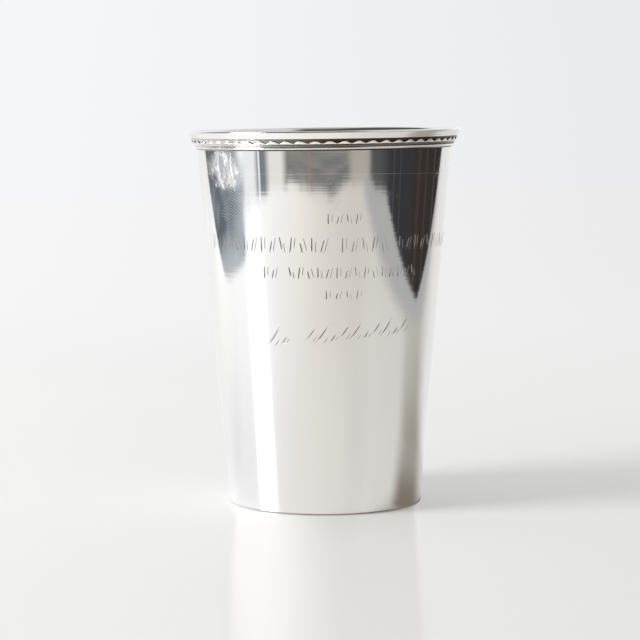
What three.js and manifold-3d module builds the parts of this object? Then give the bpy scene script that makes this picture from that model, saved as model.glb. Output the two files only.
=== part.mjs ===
// A silver beaker: a raised cup that widens to a flared lip, with a beaded moulding soldered on under the lip.
// Millimetres, +Z up. The origin is the middle of the underside, and the inscription faces -Y.

import * as THREE from "three";
import { mergeVertices } from "three/addons/utils/BufferGeometryUtils.js";
import Module from "manifold-3d";

// Cup
const cupHeight = 100;
const baseRadius = 25.9;          // outside, at the bottom of the wall
const neckRadius = 33.9;          // outside, where the lip begins to flare
const lipRadius = 36.5;           // outside, at the lip's edge
const flareHeight = 4.9;          // from the neck to the lip's edge
const flareBend = 0.35;           // height above the neck at which the wall has turned outwards
const wallThickness = 0.8;
const lipRounding = 0.18;
const floorThickness = 1.0;
const floorFillet = 2.0;          // between the floor and the wall, inside
const undersideRecess = 0.4;      // the middle of the underside, above the standing ring
const standingWidth = 2.0;        // flat ring that the cup stands on
const footRounding = 0.35;        // outer edge of the underside

// Moulding, with every level given as a distance below the lip's edge
const mouldingTop = 2.05;
const grooveBottom = 2.45;
const beadTop = 2.65;
const beadBottom = 3.2;
const bandTop = 3.4;
const bandBottom = 4.0;
const reedCrest = 4.35;
const mouldingBottom = 4.85;
const solderGap = 0.05;           // between the cup's wall and the back of the moulding

// How far each part of the moulding stands out from the cup's wall
const grooveProud = 0.2;
const beadTopProud = 0.5;
const beadBottomProud = 0.66;
const beadNotchProud = 0.24;      // between two beads, at their tops
const beadFootProud = 0.44;       // between two beads, at their feet, which a thin ridge joins
const bandTopProud = 0.18;
const bandBottomProud = 0.42;     // the wall narrows behind the upright band
const reedProud = 0.84;
const lowerEdgeProud = 0.2;

// Beads and facets
const beadCount = 60;
const facetsPerBead = 4;
const cupFacets = 72;
const flareSteps = 3;
const filletSteps = 2;

// Inscription strokes: V cuts in the wall
const strokeWidth = 0.42;
const strokeDepth = 0.16;
const cutterLift = 0.3;           // how far a cutter stands out of the wall
const strokeLean = 0.2;           // radians to the right from upright, for the leaning strokes
const scriptLean = 0.62;          // radians, for the last row

// The strokes of a row follow each other in this order. Length and raise are shares of the row's stroke length.
const strokeForms = [
  { length: 1.0, raise: 0.0, leans: false },
  { length: 0.6, raise: -0.2, leans: true },
  { length: 0.6, raise: 0.2, leans: false },
  { length: 1.0, raise: 0.0, leans: true },
  { length: 0.45, raise: 0.0, leans: false },
];
const scriptForms = [
  { length: 1.0, raise: 0.0 },
  { length: 0.5, raise: -0.15 },
  { length: 0.6, raise: 0.1 },
];

// Each row: its middle below the lip's edge, the strokes' length, the strokes in each of its groups,
// the distance from one stroke to the next, and the further distance between two groups
const rows = [
  { below: 22.4, length: 2.9, groups: [4], advance: 2.8, gap: 0 },
  { below: 29.1, length: 4.1, groups: [12, 4, 9], advance: 3.1, gap: 2.6 },
  { below: 36.3, length: 3.2, groups: [2, 13], advance: 2.8, gap: 2.2 },
  { below: 42.0, length: 2.5, groups: [4], advance: 3.0, gap: 0 },
];
const scriptRow = { below: 51.2, length: 6.4, groups: [3, 11], advance: 2.6, gap: 3.4 };

const silver = { color: 0xd9d6d0, metalness: 1, roughness: 0.2 };
const oxidisedSilver = { color: 0xc4c1bb, metalness: 1, roughness: 0.3 };

const neckHeight = cupHeight - flareHeight;
const wallSlope = (neckRadius - baseRadius) / neckHeight;
const wallLean = Math.atan(wallSlope);

// The cup's outside, from the foot's rounded edge up to the lip, as points of radius and height
function outsidePoints() {
  const bend = new THREE.Vector2(neckRadius + wallSlope * flareBend, neckHeight + flareBend);
  const neck = new THREE.Vector2(neckRadius, neckHeight);
  const lip = new THREE.Vector2(lipRadius, cupHeight - lipRounding);
  const foot = new THREE.Vector2(baseRadius + wallSlope * footRounding, footRounding);
  return [foot, ...new THREE.QuadraticBezierCurve(neck, bend, lip).getPoints(flareSteps)];
}

// The same line moved inwards by the wall's thickness, square to the wall
function insidePoints(outside) {
  return outside.map((point, index) => {
    const before = outside[Math.max(index - 1, 0)];
    const after = outside[Math.min(index + 1, outside.length - 1)];
    const along = after.clone().sub(before).normalize();
    return new THREE.Vector2(point.x - along.y * wallThickness, point.y + along.x * wallThickness);
  });
}

// The cup's outer radius at a height, along the facets of the lathed wall
function outsideRadius(height) {
  const line = outsidePoints();
  const upper = Math.max(line.findIndex((point) => point.y >= height), 1);
  const [below, above] = [line[upper - 1], line[upper]];
  return THREE.MathUtils.lerp(below.x, above.x, (height - below.y) / (above.y - below.y));
}

function cupOutline() {
  const outside = outsidePoints();
  const inside = insidePoints(outside);
  const floor = undersideRecess + floorThickness;
  const innerLip = inside.at(-1);
  const wallFoot = inside[0];
  const innerSlopeRadius = (height) => wallFoot.x + wallSlope * (height - wallFoot.y);
  const filletCentre = new THREE.Vector2(innerSlopeRadius(floor + floorFillet) - floorFillet, floor + floorFillet);
  const standingOuter = baseRadius - footRounding;
  const standingInner = standingOuter - standingWidth;
  const points = [
    new THREE.Vector2(0, undersideRecess),
    new THREE.Vector2(standingInner - undersideRecess, undersideRecess),
    new THREE.Vector2(standingInner, 0),
    new THREE.Vector2(standingOuter, 0),
    ...outside,
    new THREE.Vector2(lipRadius - lipRounding, cupHeight),
    new THREE.Vector2(innerLip.x + lipRounding, cupHeight),
    innerLip.clone().setY(cupHeight - lipRounding),
    ...inside.slice(1, -1).reverse(),
  ];
  for (let step = 0; step <= filletSteps; step += 1) {
    const turn = (step / filletSteps) * (Math.PI / 2);
    points.push(new THREE.Vector2(
      filletCentre.x + floorFillet * Math.cos(turn),
      filletCentre.y - floorFillet * Math.sin(turn),
    ));
  }
  points.push(new THREE.Vector2(0, floor));
  return points;
}

// A lathed solid about the Z axis. Its first column of vertices lies in the -Y direction.
function lathe(points, facets) {
  const geometry = new THREE.LatheGeometry(points, facets);
  return geometry.rotateX(Math.PI / 2);
}

// A closed mesh with shared vertices and no flat-out triangles, as the boolean library wants it
function weld(geometry) {
  const bare = geometry.clone();
  bare.deleteAttribute("normal");
  bare.deleteAttribute("uv");
  const merged = mergeVertices(bare);
  const corners = merged.index.array;
  const kept = [];
  for (let i = 0; i < corners.length; i += 3) {
    const [a, b, c] = [corners[i], corners[i + 1], corners[i + 2]];
    if (a !== b && b !== c && c !== a) kept.push(a, b, c);
  }
  merged.setIndex(kept);
  return merged;
}

// Places on the wall are an angle from the front, to the reader's right, and a height
function wallFrame(angle, height) {
  const radius = outsideRadius(height);
  const right = new THREE.Vector3(Math.cos(angle), Math.sin(angle), 0);
  const away = new THREE.Vector3(Math.sin(angle), -Math.cos(angle), 0);
  const outward = away.clone().multiplyScalar(Math.cos(wallLean)).add(new THREE.Vector3(0, 0, -Math.sin(wallLean)));
  const up = away.clone().multiplyScalar(Math.sin(wallLean)).add(new THREE.Vector3(0, 0, Math.cos(wallLean)));
  const place = away.multiplyScalar(radius).setZ(height);
  return { right, outward, up, place };
}

// One V-shaped cutter, centred on its place on the wall and leaning to the right from upright
function strokeCutter({ angle, height, length, lean }) {
  const { right, outward, up, place } = wallFrame(angle, height);
  const halfWidth = (strokeWidth / 2) * (1 + cutterLift / strokeDepth);
  const section = new THREE.Shape([
    new THREE.Vector2(0, -strokeDepth),
    new THREE.Vector2(halfWidth, cutterLift),
    new THREE.Vector2(-halfWidth, cutterLift),
  ]);
  const along = up.multiplyScalar(Math.cos(lean)).addScaledVector(right, Math.sin(lean));
  const across = outward.clone().cross(along);
  const cutter = new THREE.ExtrudeGeometry(section, { depth: length, bevelEnabled: false });
  cutter.translate(0, 0, -length / 2);
  const turn = new THREE.Matrix4().makeBasis(across, outward, along).setPosition(place);
  return cutter.applyMatrix4(turn);
}

// Distances along a row to the middle of each mark, with the row centred on zero
function markPlaces({ groups, advance, gap }) {
  const places = [];
  let cursor = 0;
  for (const count of groups) {
    for (let mark = 0; mark < count; mark += 1) {
      places.push(cursor);
      cursor += advance;
    }
    cursor += gap;
  }
  const middle = (places[0] + places.at(-1)) / 2;
  return places.map((place) => place - middle);
}

// The strokes of one row, each with its angle from the front, its height, its length and its lean
function rowStrokes(row, forms, lean) {
  return markPlaces(row).map((place, mark) => {
    const form = forms[mark % forms.length];
    const height = cupHeight - row.below + form.raise * row.length;
    return {
      angle: place / outsideRadius(height),
      height,
      length: form.length * row.length,
      lean: form.leans === false ? 0 : lean,
    };
  });
}

function inscriptionStrokes() {
  const uprightRows = rows.flatMap((row) => rowStrokes(row, strokeForms, strokeLean));
  return [...uprightRows, ...rowStrokes(scriptRow, scriptForms, scriptLean)];
}

async function engravedCup() {
  const wasm = await Module();
  wasm.setup();
  const solid = (geometry) => {
    const welded = weld(geometry);
    return new wasm.Manifold(new wasm.Mesh({
      numProp: 3,
      vertProperties: new Float32Array(welded.attributes.position.array),
      triVerts: new Uint32Array(welded.index.array),
    }));
  };
  let cup = solid(lathe(cupOutline(), cupFacets));
  for (const stroke of inscriptionStrokes()) cup = cup.subtract(solid(strokeCutter(stroke)));
  const cut = cup.getMesh();
  const geometry = new THREE.BufferGeometry();
  geometry.setAttribute("position", new THREE.BufferAttribute(new Float32Array(cut.vertProperties), cut.numProp));
  geometry.setIndex([...cut.triVerts]);
  geometry.computeVertexNormals();
  return geometry;
}

// The moulding's section from its lower edge up, as levels and how far they stand out from the wall.
// A level with a notch stands out less between two beads.
function mouldingFace() {
  return [
    { below: mouldingBottom, proud: lowerEdgeProud },
    { below: reedCrest, proud: reedProud },
    { below: bandBottom, proud: bandBottomProud },
    { below: bandTop, proud: bandTopProud },
    { below: beadBottom, proud: beadBottomProud, notch: beadFootProud },
    { below: beadTop, proud: beadTopProud, notch: beadNotchProud },
    { below: grooveBottom, proud: grooveProud },
    { below: mouldingTop, proud: grooveProud },
  ];
}

function rimMoulding() {
  const top = cupHeight - mouldingTop;
  const bottom = cupHeight - mouldingBottom;
  const face = mouldingFace();
  const facePoints = face.map(({ below, proud }) => {
    const height = cupHeight - below;
    return new THREE.Vector2(outsideRadius(height) + proud, height);
  });
  const between = outsidePoints().map((point) => point.y).filter((height) => height > bottom && height < top);
  const backPoints = [top, ...between.reverse(), bottom].map(
    (height) => new THREE.Vector2(outsideRadius(height) + solderGap, height),
  );
  const outline = [...facePoints, ...backPoints, facePoints[0]];
  const facets = beadCount * facetsPerBead;
  const geometry = lathe(outline, facets);
  const position = geometry.attributes.position;
  for (let column = 0; column <= facets; column += 1) {
    const turn = (((column % facetsPerBead) + 0.5) / facetsPerBead) * 2 * Math.PI;
    const share = (1 - Math.cos(turn)) / 2;
    face.forEach((point, row) => {
      if (point.notch === undefined) return;
      const vertex = column * outline.length + row;
      const radius = facePoints[row].x;
      const scale = (radius - share * (point.proud - point.notch)) / radius;
      position.setX(vertex, position.getX(vertex) * scale);
      position.setY(vertex, position.getY(vertex) * scale);
    });
  }
  geometry.rotateZ(Math.PI / facets);
  geometry.computeVertexNormals();
  return geometry;
}

function sheetMetal(name, geometry, finish) {
  const mesh = new THREE.Mesh(geometry, new THREE.MeshStandardMaterial(finish));
  mesh.name = name;
  return mesh;
}

const beaker = new THREE.Group();
beaker.add(sheetMetal("beaker_body", await engravedCup(), silver));
beaker.add(sheetMetal("rim_moulding", rimMoulding(), oxidisedSilver));

export default beaker;
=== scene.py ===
"""Dresses a silver beaker with a beaded rim for its portrait.

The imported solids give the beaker's size and place. This script spins a fine cup and a fine rim moulding in
their stead, engraves the cup, gives both old polished silver, and stands them on a white table by a window.
Lengths are metres. Shop sizes are written in millimetres and multiplied by MM.
"""

import logging
import math
from collections.abc import Callable, Iterable
from dataclasses import dataclass
from enum import Enum

import bmesh
import bpy
from mathutils import Matrix, Vector

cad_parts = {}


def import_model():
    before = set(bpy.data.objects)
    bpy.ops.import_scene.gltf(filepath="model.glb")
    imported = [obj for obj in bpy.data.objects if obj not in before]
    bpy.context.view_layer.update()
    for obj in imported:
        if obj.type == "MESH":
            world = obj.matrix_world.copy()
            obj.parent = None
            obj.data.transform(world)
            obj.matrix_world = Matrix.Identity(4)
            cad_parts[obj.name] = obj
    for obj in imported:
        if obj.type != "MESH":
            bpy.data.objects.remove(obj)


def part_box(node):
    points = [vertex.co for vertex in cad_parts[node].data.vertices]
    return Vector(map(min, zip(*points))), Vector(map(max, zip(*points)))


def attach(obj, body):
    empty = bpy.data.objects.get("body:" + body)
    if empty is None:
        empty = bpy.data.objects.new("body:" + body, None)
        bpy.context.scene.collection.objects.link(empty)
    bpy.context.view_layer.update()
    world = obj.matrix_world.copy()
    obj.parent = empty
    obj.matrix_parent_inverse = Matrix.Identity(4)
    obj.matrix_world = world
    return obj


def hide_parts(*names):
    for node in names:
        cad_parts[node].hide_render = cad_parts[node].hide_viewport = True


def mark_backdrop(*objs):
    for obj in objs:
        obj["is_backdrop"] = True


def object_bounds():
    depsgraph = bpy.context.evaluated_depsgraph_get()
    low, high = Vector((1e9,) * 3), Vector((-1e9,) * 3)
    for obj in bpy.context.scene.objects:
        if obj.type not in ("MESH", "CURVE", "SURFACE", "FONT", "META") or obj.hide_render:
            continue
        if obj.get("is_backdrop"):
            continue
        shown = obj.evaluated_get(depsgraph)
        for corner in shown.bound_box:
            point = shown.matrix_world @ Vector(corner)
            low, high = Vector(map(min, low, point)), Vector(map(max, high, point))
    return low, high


LOG = logging.getLogger("beaker")
MM = 0.001
BODY = "root"
FULL_TURN = 2 * math.pi
PORTRAIT_TURN = math.radians(-8.4)
"""The camera stands this far round from the engraved front, so the inscription shows right of the middle."""
RIM_RADIUS = 36.5 * MM
BASE_RADIUS = 25.9 * MM
WALL_RADIUS = 33.0 * MM
WALL_SLOPE = 0.0841
"""How much the wall's radius grows for each metre of height, as the cup's slope gives it."""
RIM_LEAN_ASIDE = 0.0095
RIM_LEAN_BACK = 0.004
LEAN_FROM = 10.5 * MM
LEAN_TO = 4.5 * MM
Triple = tuple[float, float, float]
Pair = tuple[float, float]


class Slot(Enum):
    """The record's material slots."""

    CUP = "silver"
    RIM = "rim_silver"


class Node(Enum):
    """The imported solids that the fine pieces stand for."""

    CUP = "beaker_body"
    RIM = "rim_moulding"


@dataclass
class Graph:
    """A short way to lay out shader nodes."""

    tree: bpy.types.NodeTree

    def add(self, kind: str, **inputs: object) -> bpy.types.Node:
        """Adds a node and fills its inputs.

        Args:
            kind: The node's type.
            inputs: Values or output sockets, by socket name with underscores for spaces.

        Returns:
            The new node.
        """
        node = self.tree.nodes.new(kind)
        for name, value in inputs.items():
            self.feed(node.inputs[name.replace("_", " ")], value)
        return node

    def feed(self, socket: bpy.types.NodeSocket, value: object) -> None:
        """Links a socket to another one, or sets its value.

        Args:
            socket: The socket to fill.
            value: A number, a colour, a vector or an output socket.
        """
        if isinstance(value, bpy.types.NodeSocket):
            self.tree.links.new(value, socket)
        else:
            socket.default_value = value

    def math(self, operation: str, *terms: object, clamp: bool = False) -> bpy.types.NodeSocket:
        """Works out a sum on numbers or sockets.

        Args:
            operation: One of the Math node's operations.
            terms: One to three numbers or sockets.
            clamp: Whether the result is held between 0 and 1.

        Returns:
            The result's socket.
        """
        node = self.tree.nodes.new("ShaderNodeMath")
        node.operation = operation
        node.use_clamp = clamp
        for socket, term in zip(node.inputs, terms):
            self.feed(socket, term)
        return node.outputs[0]

    def ramp(
        self, value: object, start: float, end: float, before: float = 0.0, after: float = 1.0,
    ) -> bpy.types.NodeSocket:
        """Turns a value smoothly from one number to another.

        Args:
            value: The socket to read.
            start: Where the turn begins.
            end: Where it ends.
            before: The number before the start.
            after: The number past the end.

        Returns:
            The result's socket.
        """
        node = self.tree.nodes.new("ShaderNodeMapRange")
        node.interpolation_type = "SMOOTHSTEP"
        numbers = {"From Min": start, "From Max": end, "To Min": before, "To Max": after}
        for name, number in numbers.items():
            node.inputs[name].default_value = number
        self.feed(node.inputs["Value"], value)
        return node.outputs["Result"]

    def product(self, first: object, *others: object) -> object:
        """Multiplies shares.

        Args:
            first: The first share.
            others: The other shares.

        Returns:
            The product's socket.
        """
        for other in others:
            first = self.math("MULTIPLY", first, other)
        return first

    def blend(self, share: object, first: object, second: object) -> bpy.types.NodeSocket:
        """Mixes two colours, given as sockets or as red, green and blue.

        Args:
            share: How much of the second colour shows.
            first: The first colour.
            second: The second colour.

        Returns:
            The mixed colour's socket.
        """
        node = self.tree.nodes.new("ShaderNodeMix")
        node.data_type = "RGBA"
        node.clamp_factor = True
        factor, under, over = (node.inputs[index] for index in (0, 6, 7))
        self.feed(factor, share)
        self.feed(under, self.paint(first))
        self.feed(over, self.paint(second))
        return node.outputs[2]

    @staticmethod
    def paint(colour: object) -> object:
        """Gives a colour the form that a colour socket takes.

        Args:
            colour: A socket, or red, green and blue.

        Returns:
            The socket, or red, green, blue and 1.
        """
        return colour if isinstance(colour, bpy.types.NodeSocket) else (*colour, 1.0)

    def glow(self, colour: object) -> bpy.types.NodeSocket:
        """Makes a surface that shines evenly in a colour.

        Args:
            colour: A socket, or red, green and blue.

        Returns:
            The shader's socket.
        """
        return self.add("ShaderNodeEmission", Color=self.paint(colour), Strength=1.0).outputs["Emission"]

    def layer(self, share: object, under: object, over: object) -> bpy.types.NodeSocket:
        """Lays one surface over another.

        Args:
            share: How much of the upper surface shows.
            under: The lower surface's shader.
            over: The upper surface's shader.

        Returns:
            The mixed shader's socket.
        """
        node = self.add("ShaderNodeMixShader", Fac=share)
        self.feed(node.inputs[1], under)
        self.feed(node.inputs[2], over)
        return node.outputs["Shader"]

    def distance(self, vector: object, point: Triple = (0.0, 0.0, 0.0)) -> bpy.types.NodeSocket:
        """Measures how far coordinates lie from a point.

        Args:
            vector: The coordinates to read.
            point: The point, by default the origin.

        Returns:
            The distance's socket.
        """
        node = self.tree.nodes.new("ShaderNodeVectorMath")
        node.operation = "DISTANCE"
        self.feed(node.inputs[0], vector)
        node.inputs[1].default_value = point
        return node.outputs["Value"]

    def axes(self, vector: object) -> bpy.types.NodeOutputs:
        """Splits coordinates.

        Args:
            vector: The coordinates to read.

        Returns:
            The sockets of X, Y and Z.
        """
        return self.add("ShaderNodeSeparateXYZ", Vector=vector).outputs

    def noise(
        self, vector: object, scale: float, detail: float = 2.0, roughness: float = 0.5,
    ) -> bpy.types.NodeSocket:
        """Gives cloudy noise between 0 and 1.

        Args:
            vector: Where the noise is read.
            scale: Clouds to the metre.
            detail: How many finer layers are added.
            roughness: How strong those layers are.

        Returns:
            The noise's socket.
        """
        node = self.add("ShaderNodeTexNoise", Vector=vector, Scale=scale, Detail=detail, Roughness=roughness)
        return node.outputs["Fac"]

    def stretch(self, vector: object, scale: Triple, turn: Triple = (0, 0, 0)) -> bpy.types.NodeSocket:
        """Scales and turns coordinates.

        Args:
            vector: The coordinates to read.
            scale: One factor for each axis.
            turn: Angles about the three axes.

        Returns:
            The new coordinates' socket.
        """
        return self.add("ShaderNodeMapping", Vector=vector, Scale=scale, Rotation=turn).outputs["Vector"]


def new_material(name: str) -> tuple[bpy.types.Material, Graph, bpy.types.Node]:
    """Makes an empty node material.

    Args:
        name: The material's name.

    Returns:
        The material, its graph and its output node.
    """
    material = bpy.data.materials.new(name)
    material.use_nodes = True
    material.node_tree.nodes.clear()
    graph = Graph(material.node_tree)
    return material, graph, graph.add("ShaderNodeOutputMaterial")


def object_from(bm: bmesh.types.BMesh, name: str) -> bpy.types.Object:
    """Turns a bmesh into an object in the scene and frees it.

    Args:
        bm: The finished bmesh.
        name: The object's name.

    Returns:
        The new object, at the origin.
    """
    mesh = bpy.data.meshes.new(name)
    bm.to_mesh(mesh)
    bm.free()
    thing = bpy.data.objects.new(name, mesh)
    bpy.context.scene.collection.objects.link(thing)
    return thing


def spun(outline: list[Pair], columns: int, closed: bool) -> bmesh.types.BMesh:
    """Spins an outline about the Z axis into a watertight shell that faces outwards.

    Args:
        outline: Points of radius and height.
        columns: How many steps make a full turn.
        closed: Whether the last point joins the first.

    Returns:
        The spun shell.
    """
    bm = bmesh.new()
    points = [bm.verts.new((0.0, -radius, height)) for radius, height in outline]
    edges = [bm.edges.new(pair) for pair in zip(points, points[1:])]
    if closed:
        edges.append(bm.edges.new((points[-1], points[0])))
    bmesh.ops.spin(
        bm, geom=[*points, *edges], cent=(0, 0, 0), axis=(0, 0, 1), angle=FULL_TURN, steps=columns,
        use_merge=True, use_duplicate=False,
    )
    bmesh.ops.remove_doubles(bm, verts=bm.verts[:], dist=0.0005 * MM)
    bmesh.ops.recalc_face_normals(bm, faces=bm.faces[:])
    return bm


def arc(centre: Pair, radius: float, start: float, end: float, steps: int) -> list[Pair]:
    """Gives points along an arc.

    Args:
        centre: The arc's centre.
        radius: Its radius.
        start: The first angle in degrees, from the outward direction.
        end: The last angle in degrees.
        steps: How many chords it has.

    Returns:
        The points, both ends among them.
    """
    angles = [math.radians(start + (end - start) * step / steps) for step in range(steps + 1)]
    return [(centre[0] + radius * math.cos(a), centre[1] + radius * math.sin(a)) for a in angles]


def shade(thing: bpy.types.Object, sharp_degrees: float) -> None:
    """Shades a piece smoothly, with creases.

    Args:
        thing: The piece.
        sharp_degrees: Faces that meet at more than this angle keep a crease between them.
    """
    thing.data.polygons.foreach_set("use_smooth", [True] * len(thing.data.polygons))
    thing.data.set_sharp_from_angle(angle=math.radians(sharp_degrees))


@dataclass(frozen=True)
class Patch:
    """A soft patch on the outside wall: its angle from the engraved front, its height and its radius."""

    azimuth: float
    height: float
    reach: float


@dataclass(frozen=True)
class Hairlines:
    """One set of scratches: its turn, how many there are to the metre, and how far they are drawn out."""

    turn: Triple
    grain: float
    squeeze: float


@dataclass(frozen=True)
class Silver:
    """Old polished silver: bright, with turning lines, hair-fine scratches, a rubbed patch and a thumb mark.

    Each gloss is an amount of roughness, and each grain says how many clouds of noise there are to the metre.
    """

    colour: Triple = (0.945, 0.94, 0.93)
    tarnish_and_shade: Triple = (0.045, 0.033, 0.02)
    anisotropy: float = 0.3
    gloss_low: float = 0.035
    gloss_high: float = 0.06
    haze_grain: float = 70.0
    haze: Pair = (0.35, 0.7)
    tarnish_gloss: float = 0.14
    lip_gloss: float = 0.05
    lip_from: float = 95.3 * MM
    lip_blend: float = 1.5 * MM
    turning_height: float = 0.0009 * MM
    turning_grain: Triple = (30.0, 30.0, 3600.0)
    broad_height: float = 0.0027 * MM
    broad_grain: Triple = (18.0, 18.0, 900.0)
    rubbed: Patch = Patch(-1.05, 90.0 * MM, 7.2 * MM)
    rubbed_gloss: float = 0.26
    smudge: Patch = Patch(-1.02, 79.0 * MM, 11.0 * MM)
    smudge_gloss: float = 0.06
    smudge_grain: float = 190.0
    smear: Pair = (0.45, 0.75)
    patch_grain: float = 260.0
    patch_ragged: float = 0.45
    patch_edge: Pair = (0.55, 1.1)
    skin: Pair = (-0.5 * MM, -0.3 * MM)
    thumb: Patch = Patch(-0.93, 79.5 * MM, 6.5 * MM)
    thumb_gloss: float = 0.13
    ridge_scale: float = 450.0
    ridge_sway: float = 1.2
    ridge_centre: Triple = (0.031, 0.016, -0.07)
    ridge: Pair = (0.45, 0.75)
    scratch_height: float = 0.0022 * MM
    scratch_gloss: float = 0.22
    scratch_width: float = 0.005
    scratch_spread: float = 0.016
    stray_grain: float = 140.0
    stray: tuple[float, ...] = (0.56, 0.7, 0.0, 0.5)
    hairlines: tuple[Hairlines, ...] = (
        Hairlines((0.3, 0.2, 0.1), 420.0, 0.16),
        Hairlines((1.1, 0.6, 0.4), 560.0, 0.2),
        Hairlines((2.2, 1.0, 1.9), 500.0, 0.16),
        Hairlines((0.7, 0.1, 0.5), 620.0, 0.9),
    )

    def material(self, name: str, tarnished: float = 0.0) -> bpy.types.Material:
        """Makes the finish as a material.

        Args:
            name: The material's name.
            tarnished: How dark the whole surface is, from 0 to 1. The piece's tarnish_and_shade attribute,
                which holds tarnish and painted shade, adds to it.

        Returns:
            The material.
        """
        material, graph, output = new_material(name)
        place = graph.add("ShaderNodeTexCoord").outputs["Object"]
        # The darkening attribute darkens the silver: tarnish, and on the rim painted shade as well.
        attribute = graph.tree.nodes.new("ShaderNodeAttribute")
        attribute.attribute_name = "tarnish_and_shade"
        dark = graph.math("ADD", attribute.outputs["Fac"], tarnished, clamp=True)
        rubbed = self.patch(graph, place, self.rubbed)
        scratches = self.scratches(graph, place, rubbed)
        lip = graph.ramp(graph.axes(place)["Z"], self.lip_from, self.lip_from + self.lip_blend)
        smear = graph.ramp(graph.noise(place, self.smudge_grain, detail=5.0), *self.smear)

        haze = graph.noise(place, self.haze_grain, detail=4.0)
        gloss = graph.ramp(haze, *self.haze, self.gloss_low, self.gloss_high)
        for share, more in (
            (scratches, self.scratch_gloss),
            (rubbed, self.rubbed_gloss),
            (lip, self.lip_gloss),
            (self.thumb_mark(graph, place), self.thumb_gloss),
            (graph.math("MULTIPLY", self.patch(graph, place, self.smudge), smear), self.smudge_gloss),
            (dark, self.tarnish_gloss),
        ):
            gloss = graph.math("MULTIPLY_ADD", share, more, gloss)

        turning = graph.noise(graph.stretch(place, self.turning_grain), 1.0, detail=3.0, roughness=0.7)
        broad_turning = graph.noise(graph.stretch(place, self.broad_grain), 1.0, detail=2.0)
        lines = graph.add("ShaderNodeBump", Distance=self.turning_height, Height=turning)
        normal = lines.outputs["Normal"]
        broad = graph.add(
            "ShaderNodeBump", Distance=self.broad_height, Height=broad_turning, Normal=normal,
        )
        normal = broad.outputs["Normal"]
        scored = graph.add("ShaderNodeBump", Distance=self.scratch_height, Height=scratches, Normal=normal)
        scored.invert = True
        for bump in (lines, broad, scored):
            bump.inputs["Strength"].default_value = 1.0

        tangent = graph.tree.nodes.new("ShaderNodeTangent")
        tangent.direction_type = "RADIAL"
        tangent.axis = "Z"
        metal = graph.add(
            "ShaderNodeBsdfPrincipled", Base_Color=graph.blend(dark, self.colour, self.tarnish_and_shade), Metallic=1.0,
            Roughness=gloss, Anisotropic=self.anisotropy, Normal=scored.outputs["Normal"],
            Tangent=tangent.outputs["Tangent"],
        )
        graph.feed(output.inputs["Surface"], metal.outputs["BSDF"])
        return material

    def patch(self, graph: Graph, place: object, patch: Patch) -> bpy.types.NodeSocket:
        """Marks a soft ragged patch on the outside wall.

        Args:
            graph: The material's graph.
            place: Object coordinates.
            patch: Where the patch lies.

        Returns:
            A socket that is 1 in the middle of the patch and 0 outside it and on the inside wall.
        """
        ragged = patch.reach * self.patch_ragged
        full, end = (patch.reach * share for share in self.patch_edge)
        middle = (WALL_RADIUS * math.sin(patch.azimuth), -WALL_RADIUS * math.cos(patch.azimuth), patch.height)
        clouds = graph.noise(place, self.patch_grain, detail=3.0)
        sway = graph.math("MULTIPLY_ADD", clouds, 2 * ragged, -ragged)
        near = graph.ramp(graph.math("ADD", graph.distance(place, middle), sway), full, end, 1.0, 0.0)
        radius = graph.distance(graph.stretch(place, (1, 1, 0)))
        wall = graph.math("MULTIPLY_ADD", graph.axes(place)["Z"], WALL_SLOPE, BASE_RADIUS)
        return graph.math("MULTIPLY", near, graph.ramp(graph.math("SUBTRACT", radius, wall), *self.skin))

    def thumb_mark(self, graph: Graph, place: object) -> bpy.types.NodeSocket:
        """Draws the ridges of a dried thumb mark.

        Args:
            graph: The material's graph.
            place: Object coordinates.

        Returns:
            A socket that is 1 on a ridge and 0 beside it.
        """
        centre = graph.stretch(place, (1, 1, 1))
        centre.node.inputs["Location"].default_value = self.ridge_centre
        rings = graph.add(
            "ShaderNodeTexWave", Vector=centre, Scale=self.ridge_scale, Distortion=self.ridge_sway,
            Detail=1.0,
        )
        rings.wave_type = "RINGS"
        rings.rings_direction = "SPHERICAL"
        inside = self.patch(graph, place, self.thumb)
        return graph.math("MULTIPLY", graph.ramp(rings.outputs["Fac"], *self.ridge), inside)

    def scratches(self, graph: Graph, place: object, rubbed: object) -> bpy.types.NodeSocket:
        """Draws hair-fine scratches in several directions, thick in the rubbed patch and sparse elsewhere.

        Args:
            graph: The material's graph.
            place: Object coordinates.
            rubbed: Where the silver is rubbed.

        Returns:
            A socket that is 1 in a scratch and 0 beside it.
        """
        total: object = 0.0
        width = graph.math("MULTIPLY_ADD", rubbed, self.scratch_spread, self.scratch_width)
        for hairs in self.hairlines:
            drawn_out = graph.stretch(place, (1.0, 1.0, hairs.squeeze), hairs.turn)
            cloud = graph.noise(drawn_out, hairs.grain, detail=1.0)
            offset = graph.math("ABSOLUTE", graph.math("SUBTRACT", cloud, 0.5))
            line = graph.math("SUBTRACT", 1.0, graph.math("DIVIDE", offset, width), clamp=True)
            total = graph.math("ADD", total, line)
        stray = graph.ramp(graph.noise(place, self.stray_grain, detail=3.0), *self.stray)
        return graph.math("MULTIPLY", total, graph.math("MAXIMUM", stray, rubbed), clamp=True)


WAVES = ((0.010 * MM, 3, 31, 0.6), (0.006 * MM, 5, -47, 2.1), (0.0035 * MM, 8, 95, 4.0))
"""The wall's unevenness: each wave's size, its turns round the wall, how it turns with height, its start."""


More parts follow.
